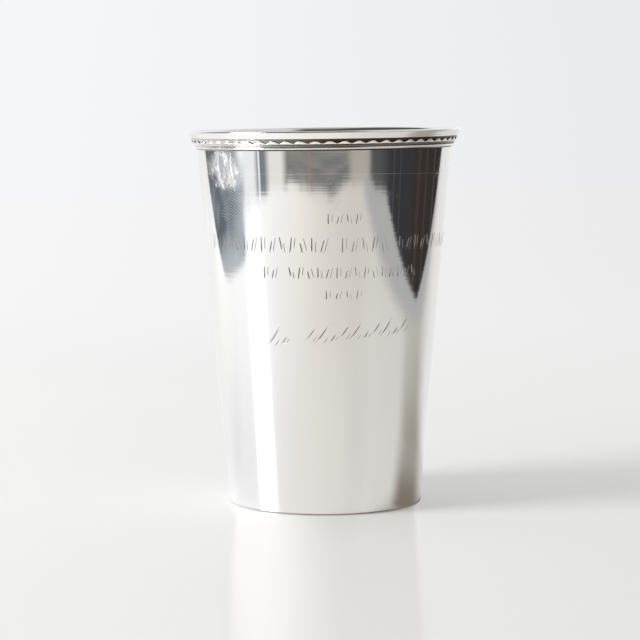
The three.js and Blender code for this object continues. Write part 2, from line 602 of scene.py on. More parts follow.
@dataclass
class Cup:
    """The raised cup: its outline, its faint unevenness and its engraving."""

    height: float
    lip_radius: float
    base_radius: float = BASE_RADIUS
    neck_radius: float = 33.9 * MM
    flare_height: float = 4.9 * MM
    flare_bend: float = 0.35 * MM
    wall: float = 0.8 * MM
    lip_lean: float = math.radians(31)
    bevel: float = 0.6 * MM
    bevel_from: float = 125.0
    floor: float = 1.4 * MM
    floor_fillet: float = 2.0 * MM
    recess: float = 0.4 * MM
    standing_width: float = 2.0 * MM
    foot_rounding: float = 0.35 * MM
    columns: int = 288
    wall_step: float = 2.0 * MM
    flare_steps: int = 12
    scribed_height: float = 89.1 * MM
    scribed_width: float = 0.08 * MM
    scribed_depth: float = 0.007 * MM
    scribed_dip: float = 1.0 * MM
    scribed_reach: float = 6.0 * MM
    even_foot: float = 1.0 * MM
    even_neck: float = 5.0 * MM
    even_blend: float = 8.0 * MM

    @property
    def neck_height(self) -> float:
        """Where the straight wall ends."""
        return self.height - self.flare_height

    @property
    def slope(self) -> float:
        """How fast the wall widens with height."""
        return (self.neck_radius - self.base_radius) / self.neck_height

    @property
    def lip_centre(self) -> Pair:
        """The middle of the rounded lip's section, as radius and height."""
        return self.lip_radius - self.wall / 2, self.height - self.wall / 2

    @property
    def lip_foot(self) -> Pair:
        """Gives the point where the outside of the flare runs into the rounded lip.

        Returns:
            Radius and height.
        """
        radius, height = self.lip_centre
        return (
            radius + self.wall / 2 * math.cos(self.lip_lean),
            height - self.wall / 2 * math.sin(self.lip_lean),
        )

    def outer_radius(self, height: float) -> float:
        """Gives the outside's radius at a height.

        Args:
            height: Height above the table.

        Returns:
            The radius, along the straight wall or the flare.
        """
        if height <= self.neck_height:
            return self.base_radius + self.slope * height
        rise = self.lip_foot[1] - self.neck_height
        curve = rise - 2 * self.flare_bend
        above = height - self.neck_height
        share = (math.sqrt(self.flare_bend**2 + curve * above) - self.flare_bend) / curve
        return self.flare_point(share)[0]

    def flare_point(self, share: float) -> Pair:
        """Gives a point of the flare's curve.

        Args:
            share: From 0 at the neck to 1 at the lip.

        Returns:
            Radius and height.
        """
        bend = (self.neck_radius + self.slope * self.flare_bend, self.neck_height + self.flare_bend)
        weights = ((1 - share) ** 2, 2 * share * (1 - share), share**2)
        corners = ((self.neck_radius, self.neck_height), bend, self.lip_foot)
        return (
            sum(w * corner[0] for w, corner in zip(weights, corners)),
            sum(w * corner[1] for w, corner in zip(weights, corners)),
        )

    def outside(self) -> list[Pair]:
        """Gives the outside from the top of the foot's rounding to the lip.

        Returns:
            Points of radius and height.
        """
        rows = round((self.neck_height - self.foot_rounding) / self.wall_step)
        heights = [
            self.foot_rounding + (self.neck_height - self.foot_rounding) * row / rows for row in range(rows)
        ]
        wall = [(self.outer_radius(height), height) for height in heights]
        edge = self.scribed_width / 2
        scribed = [
            (self.outer_radius(self.scribed_height) - sink, self.scribed_height + up)
            for up, sink in ((-edge, 0.0), (0.0, self.scribed_depth), (edge, 0.0))
        ]
        wall = sorted([*wall, *scribed], key=lambda point: point[1])
        return wall + [self.flare_point(step / self.flare_steps) for step in range(self.flare_steps + 1)]

    def inside(self) -> list[Pair]:
        """Gives the inside from the lip down to the floor's middle.

        Returns:
            Points of radius and height.
        """
        scribed, width = self.scribed_height, self.scribed_width
        outer = [point for point in self.outside() if abs(point[1] - scribed) > width]
        points = []
        for before, point, after in zip(outer, outer[1:], [*outer[2:], outer[-1]]):
            along = Vector((after[0] - before[0], after[1] - before[1])).normalized()
            points.append((point[0] - along.y * self.wall, point[1] + along.x * self.wall))
        fillet_top = self.floor + self.floor_fillet
        above = [point for point in points if point[1] > fillet_top]
        fillet_radius = self.outer_radius(fillet_top) - self.wall - self.floor_fillet
        fillet = arc((fillet_radius, fillet_top), self.floor_fillet, 0, -90, 8)
        rings = [(fillet_radius * share, self.floor) for share in (0.8, 0.6, 0.4, 0.2, 0.0)]
        return [*reversed(above), *fillet, *rings]

    def outline(self) -> list[Pair]:
        """Gives the whole section, from the underside's middle round to the floor's middle.

        Returns:
            Points of radius and height.
        """
        standing_outer = self.base_radius - self.foot_rounding
        standing_inner = standing_outer - self.standing_width
        recess_edge = standing_inner - self.recess * 2
        underside = [(recess_edge * share, self.recess) for share in (0.0, 0.25, 0.5, 0.75, 1.0)]
        step = [(standing_inner - self.recess * 0.6, self.recess * 0.55), (standing_inner, 0.0)]
        foot = arc((standing_outer, self.foot_rounding), self.foot_rounding, -90, -12, 5)
        outside = self.outside()
        inside = self.inside()
        lean = math.degrees(self.lip_lean)
        lip = arc(self.lip_centre, self.wall / 2, -lean, self.bevel_from, 14)
        turn = math.radians(self.bevel_from)
        bevel = (lip[-1][0] - self.bevel * math.sin(turn), lip[-1][1] + self.bevel * math.cos(turn))
        below = [point for point in inside if point[1] < bevel[1] - self.bevel * 1.4]
        standing = (standing_outer - 0.1 * MM, 0.0)
        return [*underside, *step, standing, *foot, *outside[:-1], *lip, bevel, *below]

    @staticmethod
    def unevenness(angle: float, height: float) -> float:
        """Gives how far hand raising has left the wall off a true cone.

        Args:
            angle: The angle round the axis.
            height: Height above the table.

        Returns:
            A small outward distance.
        """
        return sum(size * math.sin(around * angle + up * height + start) for size, around, up, start in WAVES)

    def wall_normal(self, place: Vector) -> Vector:
        """Gives the true surface direction of the uneven wall at a point on it.

        Args:
            place: A point on the outside wall.

        Returns:
            The outward normal.
        """
        angle = math.atan2(place.y, place.x)
        radius = math.hypot(place.x, place.y)
        tiny = 0.5 * MM
        turn = tiny / radius
        here = self.unevenness(angle, place.z)
        around = (self.unevenness(angle + turn, place.z) - here) / tiny
        upward = self.slope + (self.unevenness(angle, place.z + tiny) - here) / tiny
        away = Vector((math.cos(angle), math.sin(angle), 0))
        aside = Vector((-math.sin(angle), math.cos(angle), 0))
        return (away - aside * around - Vector((0, 0, upward))).normalized()

    def build(self, inscription: "Inscription", silver: Silver) -> bpy.types.Object:
        """Spins, dents, engraves and dresses the cup.

        Args:
            inscription: The engraved rows.
            silver: The finish.

        Returns:
            The finished piece.
        """
        bm = spun(self.outline(), self.columns, closed=False)
        foot, neck = self.even_foot, self.neck_height - self.even_neck
        for vertex in bm.verts:
            radius = math.hypot(vertex.co.x, vertex.co.y)
            level = vertex.co.z
            if not foot < level < self.neck_height or radius < self.outer_radius(level) - self.wall / 2:
                continue
            angle = math.atan2(vertex.co.y, vertex.co.x)
            near = max(0.0, 1 - abs(level - self.scribed_height) / self.scribed_reach)
            dip = self.scribed_dip * (1 + math.sin(angle - PORTRAIT_TURN)) * near
            ends = min(max(min(level - foot, neck - level) / self.even_blend, 0.0), 1.0)
            push = self.unevenness(angle, level) * ends - self.slope * dip
            vertex.co.xy *= (radius + push) / radius
            vertex.co.z = level - dip
        cup = object_from(bm, "beaker_body_silver")
        cup.data.materials.append(silver.material("beaker_silver"))
        cup.data.materials.append(silver.material("engraved_silver", tarnished=0.62))
        shade(cup, 40)
        cutters = inscription.cutters(self)
        self.engrave(cup, cutters)
        return cup

    def engrave(self, cup: bpy.types.Object, cutters: bpy.types.Object) -> None:
        """Cuts the strokes into the cup and keeps the wall between them truly smooth.

        Args:
            cup: The uncut cup.
            cutters: One object with all the cutting wedges. It is removed.
        """
        cut = cup.modifiers.new("engraving", "BOOLEAN")
        cut.operation = "DIFFERENCE"
        cut.solver = "EXACT"
        cut.material_mode = "INDEX"
        cut.object = cutters
        scene = bpy.context.evaluated_depsgraph_get()
        mesh = bpy.data.meshes.new_from_object(cup.evaluated_get(scene))
        cup.modifiers.clear()
        cup.data = mesh
        mesh.name = cup.name
        bpy.data.objects.remove(cutters)
        normals = [Vector((0, 0, 0))] * len(mesh.loops)
        low, high = 1.2 * MM, self.neck_height
        for face in mesh.polygons:
            centre = face.center
            levels = [mesh.vertices[index].co.z for index in face.vertices]
            narrow = max(levels) - min(levels) < self.scribed_width * 0.9
            scribed = narrow and abs(centre.z - self.scribed_height) < self.scribed_dip * 2.5
            if face.material_index or scribed:
                face.use_smooth = scribed
                continue
            outer = math.hypot(centre.x, centre.y) > self.outer_radius(centre.z) - self.wall / 2
            if outer and low < centre.z < high:
                for loop in face.loop_indices:
                    normals[loop] = self.wall_normal(mesh.vertices[mesh.loops[loop].vertex_index].co)
        mesh.normals_split_custom_set(normals)


@dataclass(frozen=True)
class Mark:
    """One mark of a row: a cut stem and a hairline beside it, as shares of the row's full length."""

    stem: float
    stem_lift: float
    hair: float
    hair_lift: float
    lean: float


@dataclass(frozen=True)
class Row:
    """One row of the inscription, with lengths in metres.

    The groups hold how many marks stand together, advance is the way from one mark to the next, and gap is
    the further way between two groups. The row climbs by its slope to the reader's right, depth scales its
    cuts, and taper is the share of a stroke over which it swells almost to its full width.
    """

    below: float
    length: float
    groups: tuple[int, ...]
    advance: float
    gap: float
    lean: float
    marks: tuple[Mark, ...]
    bow: float = 0.0
    slope: float = 0.0
    depth: float = 1.0
    taper: float = 0.08

    def places(self) -> list[float]:
        """Gives each mark's distance along the row from the row's middle.

        Returns:
            The distances, from the reader's left to right.
        """
        places: list[float] = []
        cursor = 0.0
        for count in self.groups:
            places.extend(cursor + self.advance * mark for mark in range(count))
            cursor += self.advance * count + self.gap
        middle = (places[0] + places[-1]) / 2
        return [place - middle for place in places]


UPRIGHT_MARKS = (
    Mark(1.0, 0.0, 0.8, 0.08, 0.0),
    Mark(0.74, -0.12, 0.95, 0.0, 1.0),
    Mark(0.8, 0.1, 0.62, -0.18, -0.8),
    Mark(1.0, 0.0, 0.7, 0.14, 0.6),
    Mark(0.66, -0.16, 0.88, 0.04, -1.1),
    Mark(0.9, 0.04, 0.72, -0.12, 0.0),
    Mark(0.82, -0.06, 1.0, 0.0, 1.2),
)
SCRIPT_MARKS = (
    Mark(1.0, 0.0, 0.42, -0.26, 1.0),
    Mark(0.48, -0.2, 0.34, -0.22, 1.0),
    Mark(0.74, 0.02, 0.5, -0.18, 1.0),
)
UPRIGHT_LEAN = 0.22
SCRIPT_LEAN = 0.62


@dataclass
class Inscription:
    """Rows of graver strokes that stand where a presentation inscription would."""

    stem_width: float = 0.33 * MM
    stem_depth: float = 0.13 * MM
    hair_width: float = 0.18 * MM
    hair_depth: float = 0.07 * MM
    hair_offset: float = 1.0 * MM
    lift: float = 0.25 * MM
    rows: tuple[Row, ...] = (
        Row(22.4 * MM, 2.9 * MM, (4,), 2.5 * MM, 0.0, UPRIGHT_LEAN, UPRIGHT_MARKS),
        Row(29.1 * MM, 4.3 * MM, (14, 5, 10), 2.75 * MM, 2.4 * MM, UPRIGHT_LEAN, UPRIGHT_MARKS),
        Row(36.3 * MM, 3.2 * MM, (2, 15), 2.45 * MM, 2.2 * MM, UPRIGHT_LEAN, UPRIGHT_MARKS),
        Row(42.0 * MM, 2.5 * MM, (4,), 2.7 * MM, 0.0, UPRIGHT_LEAN, UPRIGHT_MARKS),
        Row(
            51.6 * MM, 6.6 * MM, (2, 10), 2.9 * MM, 4.2 * MM, SCRIPT_LEAN, SCRIPT_MARKS,
            bow=0.05, slope=0.07, depth=0.55, taper=0.26,
        ),
    )

    def cutters(self, cup: Cup) -> bpy.types.Object:
        """Makes every cutting wedge, as one object.

        Args:
            cup: The cup whose wall carries the rows.

        Returns:
            The cutters, with the engraved finish's index on their faces.
        """
        bm = bmesh.new()
        for row in self.rows:
            for number, along in enumerate(row.places()):
                mark = row.marks[number % len(row.marks)]
                level = cup.height - row.below + row.slope * along
                stem = level + mark.stem_lift * row.length
                hair = level + mark.hair_lift * row.length
                beside = along + self.hair_offset
                self.wedge(bm, cup, row, mark, along, stem, mark.stem, self.stem_width, self.stem_depth)
                self.wedge(bm, cup, row, mark, beside, hair, mark.hair, self.hair_width, self.hair_depth)
        for face in bm.faces:
            face.material_index = 1
        bmesh.ops.recalc_face_normals(bm, faces=bm.faces[:])
        return object_from(bm, "engraving_wedges")

    def wedge(
        self, bm: bmesh.types.BMesh, cup: Cup, row: Row, mark: Mark, along: float, level: float, share: float,
        width: float, depth: float,
    ) -> None:
        """Adds one wedge: a V that swells from a point, runs, and dies away to a point.

        Args:
            bm: Where the wedge is added.
            cup: The cup whose wall it cuts.
            row: The row that it stands in.
            mark: The mark that it belongs to.
            along: Distance round the wall from the engraved front, to the reader's right.
            level: The stroke's middle above the table.
            share: The stroke's length as a share of the row's.
            width: The cut's width at the surface.
            depth: The cut's depth.
        """
        lean = row.lean * mark.lean
        depth *= row.depth
        length = row.length * share
        widen = (depth + self.lift) / depth
        full = 0.5 - row.taper
        stations = (
            (-0.5, 0.06), (-full, 0.8), (-0.2, 1.0), (0.0, 1.0), (0.2, 0.92), (full, 0.8), (0.5, 0.06),
        )
        section = ((0.0, -depth), (width / 2 * widen, self.lift), (-width / 2 * widen, self.lift))
        ring: list[bmesh.types.BMVert] = []
        before: list[bmesh.types.BMEdge] = []
        for station, swell in stations:
            offset = length * station
            bow = length * row.bow * (1 - 4 * station**2)
            height = level + offset * math.cos(lean)
            angle = (along + offset * math.sin(lean) + bow) / cup.outer_radius(level)
            away = Vector((math.sin(angle), -math.cos(angle), 0))
            right = Vector((math.cos(angle), math.sin(angle), 0))
            outward = (away - Vector((0, 0, cup.slope))).normalized()
            across = right * math.cos(lean) - Vector((0, 0, math.sin(lean)))
            centre = away * cup.outer_radius(height) + Vector((0, 0, height))
            ring = [
                bm.verts.new(centre + across * side * swell + outward * (up if up > 0 else up * swell))
                for side, up in section
            ]
            edges = [bm.edges.new(pair) for pair in zip(ring, [*ring[1:], ring[0]])]
            if before:
                bmesh.ops.bridge_loops(bm, edges=[*before, *edges])
            else:
                bm.faces.new(ring)
            before = edges
        bm.faces.new(ring)


BEAD_PROFILE = (
    (0.0, 0.0, 0.9), (0.05, 0.55, 0.3), (0.12, 0.76, 0.0), (0.35, 0.84, 0.0), (0.6, 0.92, 0.0),
    (0.8, 0.98, 0.0), (0.9, 1.0, 0.0), (0.95, 0.95, 0.2), (0.98, 0.78, 0.7), (0.993, 0.45, 1.0),
    (1.0, 0.0, 1.0),
)
# A bead's face from its foot up: share of its height, share of its stand, and darkening, which is tarnish and
# painted shade. It leans outwards.
"""A bead's face from its foot up: share of its height, share of its stand, and tarnish. It leans outwards."""


@dataclass
class Moulding:
    """The beaded strip under the lip.

    Depths are below the lip, and a stand is measured out from the neck's radius.
    """

    beads: int = 60
    columns_per_bead: int = 14
    gap: float = 0.05 * MM
    top: float = 2.05 * MM
    groove_bottom: float = 2.5 * MM
    bead_foot: float = 3.38 * MM
    band_bottom: float = 4.02 * MM
    bottom: float = 4.66 * MM
    solder_bottom: float = 5.02 * MM
    solder_stand: float = 0.09 * MM
    groove_top_stand: float = 1.72 * MM
    groove_stand: float = 1.5 * MM
    bead_stand: float = 1.76 * MM
    ridge_stand: float = 1.42 * MM
    ridge_share: float = 0.26
    band_stand: float = 0.9 * MM
    reed_stand: float = 1.2 * MM
    edge_stand: float = 0.35 * MM
    # Where the painted window light on the rim begins, and where it is full, on the reader's left.
    painted_light_from: float = math.radians(-2.0)
    painted_light_to: float = math.radians(-66.0)

    def reed(self) -> list[Triple]:
        """Gives the rounded reed along the lower edge, from its underside up.

        Returns:
            For each row: depth below the lip, stand and darkening, which is tarnish and painted shade.
        """
        low, high = self.bottom, self.band_bottom + 0.03 * MM
        middle, half = (low + high) / 2, (low - high) / 2
        rows = [(self.solder_bottom, self.solder_stand, 1.0), (low, self.edge_stand, 1.0)]
        for step in range(9):
            turn = math.pi * step / 8
            foot = self.band_stand - 0.1 * MM
            stand = foot + (self.reed_stand - foot) * math.sin(turn) ** 0.8
            rows.append((middle + half * math.cos(turn), stand, 0.9 * (1 - math.sin(turn)) ** 4))
        return rows

    def band(self) -> list[Triple]:
        """Gives the plain upright band between the reed and the beads.

        Returns:
            For each row: depth below the lip, stand and darkening, which is tarnish and painted shade.
        """
        fillet = 0.06 * MM
        return [
            (self.band_bottom, self.band_stand - fillet, 1.0),
            (self.band_bottom - fillet, self.band_stand, 0.88),
            ((self.band_bottom + self.bead_foot) / 2, self.band_stand + 0.01 * MM, 0.76),
            (self.bead_foot + fillet, self.band_stand, 0.88),
            (self.bead_foot + 0.01 * MM, self.band_stand - 0.02 * MM, 1.0),
        ]

    def bead_point(self, row: int, phase: float) -> Triple:
        """Gives a point of the bead row, which is a thin ridge that swells into an arch at each bead.

        Args:
            row: A row of the bead's profile, from 0 at its foot.
            phase: The place along the pitch, 0 at a bead's middle and 0.5 between two beads.

        Returns:
            Depth below the lip, stand and darkening, which is tarnish and painted shade.
        """
        wave = 0.5 + 0.5 * math.cos(FULL_TURN * phase)
        arch = 1 - (1 - wave) ** 1.25
        share, swell, tarnish_and_shade = BEAD_PROFILE[row]
        tall = self.ridge_share + (1 - self.ridge_share) * arch
        crest = self.ridge_stand + (self.bead_stand - self.ridge_stand) * wave**0.7
        depth = self.bead_foot - (self.bead_foot - self.groove_bottom) * tall * share
        foot = self.band_stand if share <= 0.5 else self.groove_stand - 0.25 * MM * (1 - arch)
        return depth, foot + (crest - foot) * swell, tarnish_and_shade

    def build(self, cup: Cup, silver: Silver) -> bpy.types.Object:
        """Spins the strip, raises its beads and dresses it.

        Args:
            cup: The cup that it is soldered to.
            silver: The finish.

        Returns:
            The finished piece.
        """
        below = [*self.reed(), *self.band()]
        beads = [self.bead_point(row, 0.0) for row in range(len(BEAD_PROFILE))]
        groove = [
            (self.groove_bottom - 0.03 * MM, self.groove_stand, 1.0),
            ((self.groove_bottom + self.top) / 2, self.groove_stand + 0.04 * MM, 1.0),
            (self.top, self.groove_top_stand, 0.9),
        ]
        face = [*below, *beads, *groove]
        outline = [(cup.neck_radius + stand, cup.height - depth) for depth, stand, _ in face]
        levels = [cup.height - self.top - (self.solder_bottom - self.top) * step / 5 for step in range(6)]
        outline += [(cup.outer_radius(level) + self.gap, level) for level in levels]
        bm = spun(outline, self.beads * self.columns_per_bead, closed=True)
        tarnish_and_shade = bm.verts.layers.float.new("tarnish_and_shade")
        rows = {round(height / MM, 4): index for index, (_, height) in enumerate(outline[: len(face)])}
        for vertex in bm.verts:
            radius = math.hypot(vertex.co.x, vertex.co.y)
            index = rows.get(round(vertex.co.z / MM, 4))
            if index is None or abs(radius - outline[index][0]) > 0.002 * MM:
                vertex[tarnish_and_shade] = 1.0
                continue
            angle = math.atan2(vertex.co.x, -vertex.co.y)
            dark = face[index][2]
            if len(below) <= index < len(below) + len(beads):
                phase = (angle / FULL_TURN * self.beads) % 1.0
                depth, stand, dark = self.bead_point(index - len(below), min(phase, 1 - phase))
                vertex.co.xy *= (cup.neck_radius + stand) / radius
                vertex.co.z = cup.height - depth
            # Painted light: the darkening is taken off towards the window on the reader's left.
            vertex[tarnish_and_shade] = dark * self.painted_window_light(angle)
        rim = object_from(bm, "rim_moulding_silver")
        rim.data.materials.append(silver.material("rim_silver"))
        shade(rim, 60)
        return rim

    def painted_window_light(self, angle: float) -> float:
        """Says how much of the darkening in the hollows is kept: the rim is painted lighter on the reader's
        left, the window side, as painted light, and its darkening is full again behind.

        Args:
            angle: The angle from the engraved front, to the reader's right.

        Returns:
            A share from 0 to 1.
        """
        share = min(1.0, max(0.0, (self.painted_light_from - angle) / (self.painted_light_from - self.painted_light_to)))
        back = min(1.0, max(0.0, (-angle - math.radians(100)) / math.radians(40)))
        return 1 - 0.8 * share**1.5 * (1 - back)


@dataclass
class Portrait:
    """The camera, as it stood for the photograph."""

    lens: float = 129.34
    sensor: float = 36.0
    distance: float = 616.7 * MM
    height: float = 111.35 * MM
    pitch: float = 5.818
    pan: float = -0.116
    roll: float = 0.19

    def build(self) -> bpy.types.Object:
        """Makes the camera and hands it to the scene.

        Returns:
            The camera.
        """
        data = bpy.data.cameras.new("portrait")
        data.lens = self.lens
        data.sensor_width = self.sensor
        camera = bpy.data.objects.new("portrait", data)
        bpy.context.scene.collection.objects.link(camera)
        upright = Matrix.Rotation(math.radians(90 - self.pitch), 4, "X")
        pan = Matrix.Rotation(math.radians(-self.pan), 4, "Z")
        roll = Matrix.Rotation(math.radians(-self.roll), 4, "Z")
        stand = Matrix.Translation((0, -self.distance, self.height))
        camera.matrix_world = Matrix.Rotation(PORTRAIT_TURN, 4, "Z") @ stand @ pan @ upright @ roll
        bpy.context.scene.camera = camera
        return camera


@dataclass(frozen=True)
class Coat:
    """A colour laid over the one before it, by a share that turns while a reading runs from start to end."""

    colour: "Triple | Paint"
    reading: str
    start: float
    end: float
    before: float = 0.0
    after: float = 1.0


class Paint:
    """A colour with coats laid over it in turn."""

    def __init__(self, base: "Triple | Paint", *coats: Coat) -> None:
        """Keeps the colours.

        Args:
            base: The first colour.
            coats: What is laid over it.
        """
        self.base = base
        self.coats = coats


@dataclass(frozen=True)
class Edge:
    """A straight soft edge on the table: a point on it, the way across it in degrees, and half its blur."""

    point: Pair
    heading: float
    blur: float


@dataclass
class Ground(Graph):
    """A graph with readings taken from the beaker's place on the table.

    X runs to the portrait's right and Y away from the camera. Azimuth is the direction in degrees: 0 towards
    the camera, 90 to the right, 180 behind and -90 to the left. Around is the same without its sign. Reach is
    the distance.
    """

    def __post_init__(self) -> None:
        """Takes the readings."""
        self.place = self.add("ShaderNodeTexCoord").outputs["Object"]
        self.x, self.y, self.height = self.axes(self.place)
        turn = self.math("ARCTAN2", self.x, self.math("MULTIPLY", self.y, -1.0))
        self.azimuth = self.math("DEGREES", turn)
        self.reach = self.distance(self.place)
        self.readings = {
            "x": self.x,
            "height": self.height,
            "azimuth": self.azimuth,
            "around": self.math("ABSOLUTE", self.azimuth),
            "reach": self.reach,
            "clouds": self.noise(self.place, 8.0, detail=3.0),
            "streaks": self.noise(self.stretch(self.place, (0.3, 6.0, 1.0)), 14.0, detail=3.0),
        }

    def lay(self, colour: object, *coats: Coat) -> object:
        """Lays coats over a colour.

        Args:
            colour: The colour below.
            coats: The coats, the lowest first.

        Returns:
            The mixed colour's socket.
        """
        for coat in coats:
            share = self.ramp(self.readings[coat.reading], coat.start, coat.end, coat.before, coat.after)
            colour = self.blend(share, colour, self.mix(coat.colour))
        return colour

    def mix(self, paint: "Triple | Paint") -> object:
        """Mixes a paint. A plain colour stays as it is."""
        return self.lay(self.mix(paint.base), *paint.coats) if isinstance(paint, Paint) else paint

    def aside(self, azimuth: float) -> bpy.types.NodeSocket:
        """Gives the angle in degrees from a direction."""
        return self.math("ABSOLUTE", self.math("SUBTRACT", self.azimuth, azimuth))

    def turned(self, heading: float, offset: float) -> bpy.types.NodeSocket:
        """Gives the distance along a direction on the table.

        Args:
            heading: The direction in degrees, from the right towards the back.
            offset: What is added to the distance.

        Returns:
            The distance's socket.
        """
        turn = math.radians(heading)
        along = self.math("MULTIPLY_ADD", self.x, math.cos(turn), offset)
        return self.math("MULTIPLY_ADD", self.y, math.sin(turn), along)

    def past(self, edge: Edge) -> bpy.types.NodeSocket:
        """Splits the table by an edge.

        Args:
            edge: The edge.

        Returns:
            A socket that is 0 before the edge and 1 past it.
        """
        turn = math.radians(edge.heading)
        offset = -(edge.point[0] * math.cos(turn) + edge.point[1] * math.sin(turn))
        return self.ramp(self.turned(edge.heading, offset), -edge.blur, edge.blur)

    def before(self, edge: Edge) -> bpy.types.NodeSocket:
        """Gives a socket that is 1 before an edge and 0 past it."""
        return self.math("SUBTRACT", 1.0, self.past(edge))


PALE = Paint(
    Paint((0.945, 0.945, 0.95), Coat((0.82, 0.815, 0.815), "x", -0.4, 0.4)),
    Coat(Paint((0.93, 0.94, 0.973), Coat((0.805, 0.82, 0.85), "x", -0.4, 0.4)), "height", 0.0, 0.12),
)
"""The backdrop: cooler above, warmer below, and brighter towards the window."""

# Painted light and shade for the mirrored table, by direction from the beaker: a lighter tone round most of
# it that is lightest behind, and a warmer painted shade for the camera's side and the right, darkest to the
# right.
TABLE_IN_PAINTED_LIGHT = Paint(
    (0.775, 0.78, 0.785),
    Coat((0.82, 0.82, 0.825), "azimuth", -104, -90),
    Coat((0.775, 0.775, 0.78), "azimuth", 110, 125),
    Coat((0.88, 0.88, 0.885), "around", 145, 168),
)
TABLE_IN_PAINTED_SHADE = Paint((0.78, 0.742, 0.695), Coat((0.7, 0.675, 0.64), "azimuth", 30, 58))

# The room round the table glows in painted colours that only the silver mirrors, as painted reflections. On
# the window side a patch brighter than white stands for the window's light.
ROOM_LEFT = Paint(
    (0.12, 0.14, 0.165),
    Coat((0.25, 0.29, 0.33), "clouds", 0.4, 0.66),
    Coat((0.56, 0.59, 0.62), "reach", 0.37, 0.51, 0.85, 0.0),
    Coat((0.16, 0.16, 0.145), "reach", 0.75, 0.95),
    Coat(Paint((0.4, 0.46, 0.52), Coat((1.05, 1.07, 1.1), "reach", 0.53, 0.6)), "azimuth", -94, -76),
    Coat((0.2, 0.22, 0.25), "azimuth", -67, -60),
)
ROOM_FRONT = Paint(
    (0.135, 0.14, 0.15),
    Coat((0.23, 0.22, 0.195), "reach", 0.485, 0.525),
    Coat((0.35, 0.34, 0.31), "streaks", 0.38, 0.64, 0.0, 0.7),
)
ROOM_RIGHT = Paint(
    (0.037, 0.037, 0.041),
    Coat((0.036, 0.03, 0.027), "azimuth", 82, 92),
    Coat((0.085, 0.088, 0.09), "azimuth", 46, 64, 1.0, 0.0),
)
ROOM = Paint(ROOM_LEFT, Coat(ROOM_FRONT, "azimuth", -54, -50), Coat(ROOM_RIGHT, "azimuth", 39, 42))
# The room beyond the table, a painted glow that only the silver mirrors: bluish on the window side, grey in
# front, brown-black on the right.
"""The room beyond the table: bluish on the window side, grey in front, brown-black on the right."""

ROOM_STRIPS = (
    (-70.5, 7.5, (0.86, 0.88, 0.91)),
    (-60, 0.9, (0.9, 0.92, 0.95)),
    (-43.5, 8.5, (0.8, 0.79, 0.75)),
    (-13, 1.2, (0.33, 0.2, 0.2)),
    (31.5, 9.5, (0.42, 0.39, 0.35)),
    (65, 0.6, (0.07, 0.07, 0.075)),
    (72, 0.6, (0.06, 0.06, 0.065)),
    (95, 2.2, (0.055, 0.041, 0.033)),
    (106, 1.5, (0.06, 0.044, 0.035)),
    (119, 1.0, (0.075, 0.062, 0.058)),
)
# Upright strips of the room that show in the silver as painted reflections: direction, half width in degrees,
# and colour. The two palest, near the window's direction, are painted window light.
"""Upright strips of the room that show in the silver: direction, half width in degrees, and colour."""

# The dome's walls and ceiling: a painted glow, seen only in the silver as painted reflections.
WINDOW_WALL = Paint((0.42, 0.45, 0.49), Coat((0.09, 0.09, 0.095), "height", 0.5, 1.2))
WALLS = Paint(
    (0.16, 0.155, 0.14),
    Coat((0.07, 0.065, 0.06), "height", 0.6, 1.4),
    Coat(WINDOW_WALL, "azimuth", -60, -45, 1.0, 0.0),
    Coat((0.66, 0.65, 0.63), "azimuth", 28, 55),
)
SKYLINE = Paint((1.33, 1.32, 1.29), Coat((0.665, 0.645, 0.61), "azimuth", -75, 25))
BEHIND = Paint((1.03, 1.03, 1.03), Coat((0.865, 0.87, 0.88), "height", 0.3, 0.58))
CEILING = (Coat(BEHIND, "around", 122, 140), Coat((0.45, 0.44, 0.42), "height", 2.6, 2.76))


